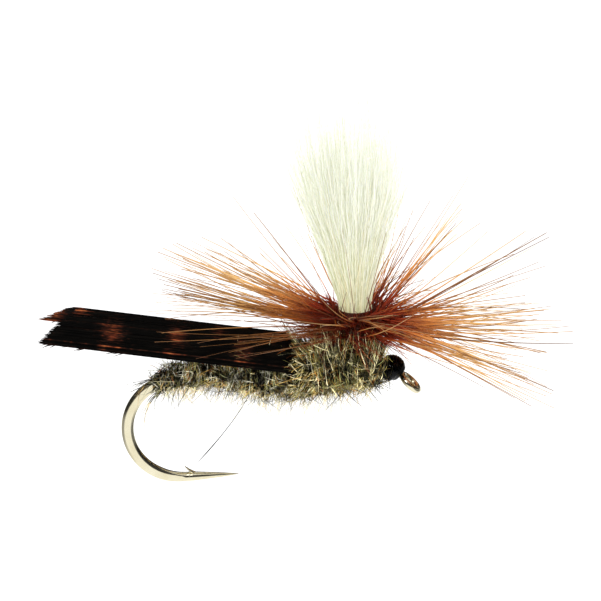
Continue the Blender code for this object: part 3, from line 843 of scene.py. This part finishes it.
def make_post_thread():
    """The thread wound up the post's foot."""
    thickness = 0.045
    low, high = POST_THREAD_LOW - 0.55, POST_THREAD_HIGH - 0.10
    line = np.linspace((POST_X, 0.0, low), (POST_X, 0.0, high), 12)
    radius = POST_THREAD_RADIUS - thickness
    return wound_thread("post_thread_wraps", line, radius, (1.0, 0.0, 0.0), 26, thickness)


def make_wing_band():
    """The thread that binds the wing's front end."""
    thickness = 0.05
    rear, front = BAND_REAR + thickness, BAND_FRONT - thickness
    line = np.linspace((rear, 0.0, SHANK_Z), (front, 0.0, SHANK_Z), 8)
    return wound_thread("wing_binding_wraps", line, BAND_RADIUS - 0.06, Z_AXIS, 7, thickness)


def head_line():
    """The head's centre line: along the shank, then down the neck towards the eye."""
    front = neck_path()[:1:-1]
    line = np.concatenate((((HEAD_REAR, 0.0, SHANK_Z),), front))
    return line, unit(np.cross(np.gradient(line, axis=0), Y_AXIS))


HEAD_SHAPE = ((0.0, 0.64), (0.15, 0.71), (0.38, 0.76), (0.6, 0.75), (0.8, 0.67), (0.93, 0.55),
              (1.0, 0.46))


def head_radii(count, extra=0.0):
    """The head's radius at evenly spread places along it."""
    places, radii = zip(*HEAD_SHAPE)
    return np.interp(shares(count), places, radii) + extra


def make_head():
    """Thread turns over a core, with a few steeper turns back across them."""
    line, upwards = head_line()
    count = len(line)
    core = tube("head_core", line, head_radii(count, -0.07), 28)
    lower = wound_thread("head_wraps", line, head_radii(count, -0.06), upwards, 17, 0.045)
    crossing = wound_thread("head_cross", line[::-1], head_radii(count, -0.03)[::-1], upwards[::-1],
                            5, 0.035)
    return joined("head_thread_wraps", [lower, core, crossing])


def make_varnish():
    """The skin of varnish over the head, which starts just in front of the thorax."""
    line, _ = head_line()
    count, first = 40, 3
    t = shares(count)
    centre = resampled(line, t * (len(line) - 1))[first:]
    ripple = 0.008 * np.sin(t * 60.0) + 0.02
    return tube("head_varnish", centre, (head_radii(count) + ripple)[first:], 36)


POST_ROOT = 1.5
POST_NECK = POST_THREAD_HIGH
POST_NECK_RADIUS = POST_THREAD_RADIUS - 0.16
POST_FLARE_HEIGHT = 11.4
POST_FLARE_RADIUS = 2.78
POST_LEAN = -0.06
POST_HAIRS = 2000
POST_HAIR_RADIUS = 0.018


def post_envelope(z):
    """The radius of the hair bundle at a height: a tight neck under the thread, then a flare."""
    heights = (POST_ROOT, POST_ROOT + 0.9, POST_NECK, POST_NECK + 0.8, 8.5, 10.2, POST_FLARE_HEIGHT,
               12.8, POST_TOP)
    radii = (0.45, POST_NECK_RADIUS, POST_NECK_RADIUS, POST_NECK_RADIUS + 0.12, 1.76, 2.36,
             POST_FLARE_RADIUS, 3.0, 3.3)
    return np.interp(z, heights, radii)


def post_lean(z):
    """How far the bundle leans to the rear at a height."""
    return POST_LEAN * clamp((z - POST_NECK + 1.0) / 1.5)


def make_post_core():
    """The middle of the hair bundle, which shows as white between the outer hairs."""
    z = np.linspace(POST_ROOT, POST_FLARE_HEIGHT - 1.4, 40)
    closing = clamp((POST_FLARE_HEIGHT - 1.3 - z) / 2.6) ** 0.5
    path = np.stack((POST_X + post_lean(z), np.zeros_like(z), z), -1)
    radius = post_envelope(z) * np.minimum(0.80, 0.80 * closing + 0.02)
    return tube("wing_post_core", path, radius, 40)


def make_post_hair():
    """The hair bundle: tight under the thread, then flared, with tips at uneven heights."""
    rng = default_rng(31)
    count, t = POST_HAIRS, shares(13)
    share = np.sqrt(rng.uniform(0.03, 1.0, count))
    turn = rng.uniform(0, tau, count)
    top = POST_TOP - 1.9 - 2.2 * share ** 2.5 + rng.normal(0, 1.1, count) + rng.exponential(1.1, count)
    top = np.clip(top, 7.4, POST_TOP + 1.1)
    z = POST_ROOT + (top - POST_ROOT)[:, None] * t
    distance = share[:, None] * post_envelope(z)
    free = np.clip((z - POST_NECK) / 8.0, 0, 1.2)
    curl = rng.uniform(0.02, 0.09, (count, 1)) * clamp((z - POST_NECK) / 3.0)
    phase = rng.uniform(0, tau, (2, count, 1))
    pitch = rng.uniform(1.2, 2.4, (2, count, 1))
    stray = np.where(rng.random(count) < 0.2, 2.3, 1.0)[:, None]
    wander = rng.normal(0, 0.45, (2, count, 1)) * stray * free ** 1.4
    x = POST_X + post_lean(z) + distance * np.cos(turn)[:, None]
    x = x + curl * np.sin(z * pitch[0] + phase[0]) + wander[0]
    y = distance * np.sin(turn)[:, None] + curl * np.sin(z * pitch[1] + phase[1]) + wander[1]
    taper = 1 - 0.68 * clamp((t - 0.5) / 0.5)
    widths = rng.uniform(0.75, 1.2, (count, 1)) * POST_HAIR_RADIUS * taper
    return tubes("wing_post_hair", np.stack((x, y, z), -1), widths, strand=rng.random(count))


STEM_TURNS = 5
STEM_RADIUS = 0.07


def stem_place(turn):
    """Places on the wound quill, by turns from its start."""
    radius = POST_THREAD_RADIUS + STEM_RADIUS + 0.02
    angle = turn * tau
    rise = (STEM_HIGH - STEM_LOW - 2 * STEM_RADIUS) / STEM_TURNS
    height = STEM_LOW + STEM_RADIUS + rise * turn
    return np.stack((POST_X + radius * np.cos(angle), radius * np.sin(angle), height), -1)


def make_stem():
    """The feather's quill, wound round the post's foot."""
    turn = np.linspace(0, STEM_TURNS, STEM_TURNS * 28)
    width = STEM_RADIUS * np.linspace(1.0, 0.62, len(turn))
    return tube("hackle_quill", stem_place(turn), width, 8, Z_AXIS)


# Barbs that cling together in one bunch.
BUNCH_SIZE = 4


def towards_side(azimuth):
    """How far a barb points to the near side, 0 to 1."""
    return np.maximum(0, -np.sin(azimuth))


def kept_in_fan(lift, azimuth):
    """Folds back barbs that would hang over the body or the eye, or stand above the fan at the rear."""
    forward, across = np.cos(azimuth), np.sin(azimuth)
    slope = np.where(forward > 0, 0.60 * forward, -0.22 * forward)
    lowest = np.arctan(0.36 * towards_side(azimuth) - slope)
    highest = np.where(forward < 0, np.arctan(-0.62 * forward - 0.36 * across), pi / 2)
    lift = np.where(lift < lowest, lowest + 0.35 * (lowest - lift), lift)
    return np.where(lift > highest, highest - 0.35 * (lift - highest), lift)


def over_wing(azimuth):
    """How much a barb lies over the near wing slip, 0 to 1."""
    return clamp(-2.5 * np.cos(azimuth)) * clamp(2.5 * towards_side(azimuth))


def hackle_roots(rng, count, near):
    """Where barbs leave the quill, in turns, each one's bunch, and whether it stands alone."""
    tries = count * 4
    bunches = count // BUNCH_SIZE
    bunch = rng.integers(0, bunches, tries)
    alone = rng.random(tries) < 0.3
    spot = rng.uniform(0, STEM_TURNS, bunches)[bunch] + rng.normal(0, 0.008, tries)
    turn = np.where(alone, rng.uniform(0, STEM_TURNS, tries), spot.clip(0, STEM_TURNS))
    azimuth = turn * tau
    crowding = 0.5 * (1 + 0.42 * np.cos(azimuth * 2)) * (1 - near * towards_side(azimuth))
    crowding *= (1 - 0.14 * np.cos(azimuth)) * (1 - near * over_wing(azimuth))
    kept = np.flatnonzero(rng.random(tries) < crowding)[:count]
    return turn[kept], bunch[kept], alone[kept]


def make_hackle(name, count, seed, reach, spread, width, tip, rise=1.5, tilt=16.0, near=0.4,
                stray=0.2, fan=True):
    """Barbs that leave the wound quill and spread into the collar, which tips down to the front.

    rise and spread are the mean angle above level and its scatter, tilt the angle that the collar is
    tipped by, near the share of barbs left out on the near side, stray how far barbs swing sideways
    from their roots, and fan says whether they're kept within the collar's fan.
    """
    rng = default_rng(seed)
    t = shares(18)
    bunches = count // BUNCH_SIZE
    turn, bunch, alone = hackle_roots(rng, count, near)
    count = len(turn)

    def drawn(own, shared, spread):
        """A lone barb's own draw, and for the others their bunch's draw and a little of their own."""
        single = rng.normal(0, own, count)
        return np.where(alone, single, rng.normal(0, shared, bunches)[bunch] + rng.normal(0, spread, count))

    azimuth = turn * tau + 0.10 + drawn(stray, stray, 0.03) + 0.06 * np.sin(turn * tau * 5.0)
    towards = towards_side(azimuth)
    scatter = drawn(1.0, 0.97, 0.2) * (spread * (1 + 0.42 * np.cos(azimuth)))
    climb = turn - STEM_TURNS / 2
    lift = np.radians(rise + climb + scatter - tilt * np.cos(azimuth) + 4.0 * towards)
    if fan:
        lift = kept_in_fan(lift, azimuth)
    length = (HACKLE_REACH - POST_THREAD_RADIUS) * rng.uniform(*reach, count)
    level = np.cos(lift)
    heading = np.stack((np.cos(azimuth) * level, np.sin(azimuth) * level, np.sin(lift)), -1)
    side = unit(np.cross(heading, Z_AXIS))
    sway = rng.normal(0, 0.06, (count, 1)) * side
    droop = rng.normal(0, 0.06, (count, 1)) * Z_AXIS
    paths = bowed_runs(stem_place(turn), heading, length, (sway + droop) * length[:, None], t)
    over = over_wing(azimuth)
    slim = rng.uniform(0.65, 1.2, count) * (1 - np.maximum(0.4 * towards, 0.6 * over))
    # Painted shade: barbs on the near side, and most of all those over the near wing slip, take darker
    # strand values.
    strand = rng.random(count) * (1 - np.maximum(0.6 * towards, 0.95 * over))
    hackle = tubes(name, paths, slim[:, None] * (width + (tip - width) * t), strand=strand, sides=4)
    store(hackle.data, "along", np.repeat((length[:, None] * t / HACKLE_REACH).ravel(), 4))
    return hackle


# ---- stage

def make_floor():
    """A pale table that lights the fly from below and isn't mirrored in it."""
    bpy.ops.mesh.primitive_plane_add(size=1.6, location=(0.0, 0.0, -0.05))
    floor = bpy.context.object
    floor.name = "floor"
    look = Look("light_table", Roughness=0.9, Base_Color=grey(0.8), Emission_Color=grey(1.0),
                Emission_Strength=0.4)
    floor.data.materials.append(look.material)
    floor.visible_glossy = False


def add_area(name, location, size, power, shows=True):
    """A round softbox aimed at the fly. shows says whether reflections see it."""
    light = bpy.data.lights.new(name, "AREA")
    light.shape = "DISK"
    light.size = size
    light.energy = power
    item = link(name, light)
    item.location = location
    item.rotation_euler = (Vector(LIGHT_TARGET) - Vector(location)).to_track_quat("-Z", "Y").to_euler()
    item.visible_glossy = shows


# What reflections see: (place, brightness) stops from straight down to straight up, and from the
# left to the right.
SKY = ((0.0, 1.05), (0.41, 1.0), (0.47, 0.03), (0.84, 0.02), (0.92, 0.8), (1.0, 1.0))
FLAGS = ((0.0, 0.5), (0.08, 0.3), (0.22, 1.0), (0.76, 1.0), (0.88, 0.12), (1.0, 0.3))


def brightness(tree, factor, stops):
    """Maps -1 to 1 through grey stops."""
    spread = add_node(tree, "MapRange", {"Value": factor, "From Min": -1.0}).outputs["Result"]
    return add_ramp(tree, spread, [(place, grey(value)) for place, value in stops])


def make_world():
    """White to the eye. Reflections see a bright table, dark flags at the sides and a softbox."""
    world = bpy.data.worlds.new("studio")
    bpy.context.scene.world = world
    world.use_nodes = True
    tree = world.node_tree
    direction = add_node(tree, "TexCoord", {}).outputs["Generated"]
    split = add_node(tree, "SeparateXYZ", {"Vector": direction})
    height = brightness(tree, split.outputs["Z"], SKY)
    side = brightness(tree, split.outputs["X"], FLAGS)
    seen = add_mix(tree, 1.0, height, side, "MULTIPLY")
    glossy = add_node(tree, "LightPath", {}).outputs["Is Glossy Ray"]
    tree.links.new(add_mix(tree, glossy, grey(1.0), seen), tree.nodes["Background"].inputs["Color"])


CAMERA_ELEVATION = radians(20.0)
CAMERA_ROLL = radians(3.0)
CAMERA_TARGET = Vector((-5.835, 0.0, 5.17)) * MM
CAMERA_DISTANCE = 165.3 * MM
CAMERA_LENS = 180.0
LIGHT_TARGET = (-0.006, 0.0, 0.003)


def make_camera():
    """A long lens that looks down on the near side, rolled a little."""
    lens = bpy.data.cameras.new("camera")
    lens.lens = CAMERA_LENS
    lens.sensor_width = 36.0
    lens.clip_start = 0.001
    camera = link("camera", lens)
    back = Vector((0.0, -cos(CAMERA_ELEVATION), sin(CAMERA_ELEVATION)))
    camera.location = CAMERA_TARGET + back * CAMERA_DISTANCE
    aim = (-back).to_track_quat("-Z", "Y").to_matrix() @ Matrix.Rotation(-CAMERA_ROLL, 3, "Z")
    camera.rotation_euler = aim.to_euler()
    bpy.context.scene.camera = camera


def make_stage():
    make_world()
    make_floor()
    make_camera()
    add_area("key", (-0.12, -0.22, 0.26), 0.16, 0.5)
    add_area("fill", (0.20, -0.20, 0.10), 0.20, 0.15, shows=False)
    bpy.context.scene.view_settings.view_transform = "Standard"


# ---- assembly

# Each set of barbs: its name and what make_hackle takes.
HACKLE_SETS = (
    ("barb", dict(count=264, seed=51, reach=(0.82, 1.04), spread=10.5, width=0.050, tip=0.018)),
    ("short", dict(count=250, seed=52, reach=(0.12, 0.58), spread=12.0, width=0.044, tip=0.012,
                   near=0.7, stray=0.45)),
    ("web", dict(count=420, seed=53, reach=(0.08, 0.32), spread=13.0, width=0.045, tip=0.012,
                 rise=-14.0, tilt=7.0, near=0.0, stray=0.7, fan=False)),
    ("steep", dict(count=46, seed=57, reach=(0.42, 0.86), spread=13.0, width=0.036, tip=0.015,
                   rise=51.0, tilt=0.0, fan=False)),
    ("rising", dict(count=24, seed=58, reach=(0.55, 1.0), spread=11.0, width=0.038, tip=0.015,
                    rise=21.0, tilt=-18.0, fan=False)),
    ("base", dict(count=420, seed=55, reach=(0.05, 0.16), spread=22.0, width=0.040, tip=0.012,
                  rise=38.0, tilt=0.0, near=0.0, stray=0.9, fan=False)),
)


def dress_body():
    """The dubbing: two felted cores, their fur and the longer hairs."""
    felt = felt_look()
    for part, start, stop in (("abdomen", 0.0, THORAX_START + 0.1),
                              ("thorax", THORAX_START - 0.2, BODY_LENGTH)):
        core = make_core(part + "_core", start, stop)
        finish_piece(core, felt, part + "_fur", part + "_dubbing")
    grey_fur = fur_look("abdomen_fur", grey(1.7), 0.55)
    brown_fur = fur_look("thorax_fur", (1.7, 1.6, 1.18, 1.0), 0.15)
    abdomen = make_fur("abdomen_fur", 0.0, THORAX_START + 0.5, 4400, 11, lift=0.08, girth=0.95)
    thorax = make_fur("thorax_fur", THORAX_START, BODY_LENGTH + 0.05, 3900, 12, lift=0.12, girth=1.2)
    finish_piece(abdomen, grey_fur, "abdomen_fur")
    finish_piece(thorax, brown_fur, "thorax_fur")
    for make in (make_collar_fur, make_guard_hairs, make_lying_hairs, make_front_wisps):
        finish_piece(make(), brown_fur, "thorax_fur")
    trailing = make_stray_hairs("stray_hairs", count=64, seed=8, reach=(0.9, 2.6), stray=0.45,
                                bend=0.33, width=(0.010, 0.020), tones=(0.6, 0.96))
    finish_piece(trailing, brown_fur, "thorax_fur")
    belly = make_stray_hairs("belly_fuzz", count=1400, seed=9, reach=(0.4, 2.1), stray=0.04,
                             bend=0.25, width=(0.007, 0.012), tones=(0.64, 0.96))
    finish_piece(belly, brown_fur, "abdomen_fur")
    finish_piece(make_long_hair(), brown_fur, "thorax_fur")


def dress_wing():
    """The two quill slips and their frayed edges."""
    quill = wing_look()
    for node, side, seed in (("wing_slip_near", -1, 21), ("wing_slip_far", 1, 22)):
        slip = make_wing_slip(node + "_barbs", side, seed)
        frays = make_wing_frays(node + "_frays", side, seed + 10)
        finish_piece(joined(slip.name, [slip, frays]), quill, "wing_quill", node)


def dress_thread():
    """The thread that shows, and the varnish on the head."""
    black = thread_look("black_tying_thread", tone(2, 3, 5), tone(9, 13, 18), 0.3, 0.05)
    brown = thread_look("brown_tying_thread", tone(48, 14, 7), tone(92, 34, 16), 0.45, 0.25)
    finish_piece(make_wing_band(), black, "black_thread", "wing_tie_down")
    finish_piece(make_post_thread(), brown, "brown_thread", "post_thread_base")
    finish_piece(make_head(), black, "black_thread", "thread_head")
    finish_piece(make_varnish(), varnish_look(), "head_varnish", "head_cement")


def dress_post():
    """The white hair, loose outside and packed inside."""
    finish_piece(make_post_hair(), hair_look(), "calf_hair", "wing_post")
    finish_piece(make_post_core(), packed_hair_look(), "calf_hair", "wing_post")


def dress_hackle():
    """The quill and its sets of barbs, the first of which stands for the CAD collar."""
    finish_piece(make_stem(), quill_look(), "hackle_quill", "hackle_stem")
    ginger = hackle_look()
    for index, (name, values) in enumerate(HACKLE_SETS):
        nodes = () if index else ("hackle_barbs",)
        barbs = make_hackle("hackle_" + name + "_fibres", **values)
        finish_piece(barbs, ginger, "hackle_barb", *nodes)


def dress_hidden_nodes():
    """The thread that the dubbing covers keeps its CAD shape."""
    olive = thread_look("olive_tying_thread", tone(70, 64, 40), tone(104, 96, 62), 0.55, 0.25)
    for name in ("thread_underbody", "butt_lashing"):
        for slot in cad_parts[name].material_slots:
            slot.material = olive.material


make_stage()
finish_piece(make_hook(), metal_look(), "hook_wire", "hook")
dress_body()
dress_wing()
dress_thread()
dress_post()
dress_hackle()
dress_hidden_nodes()
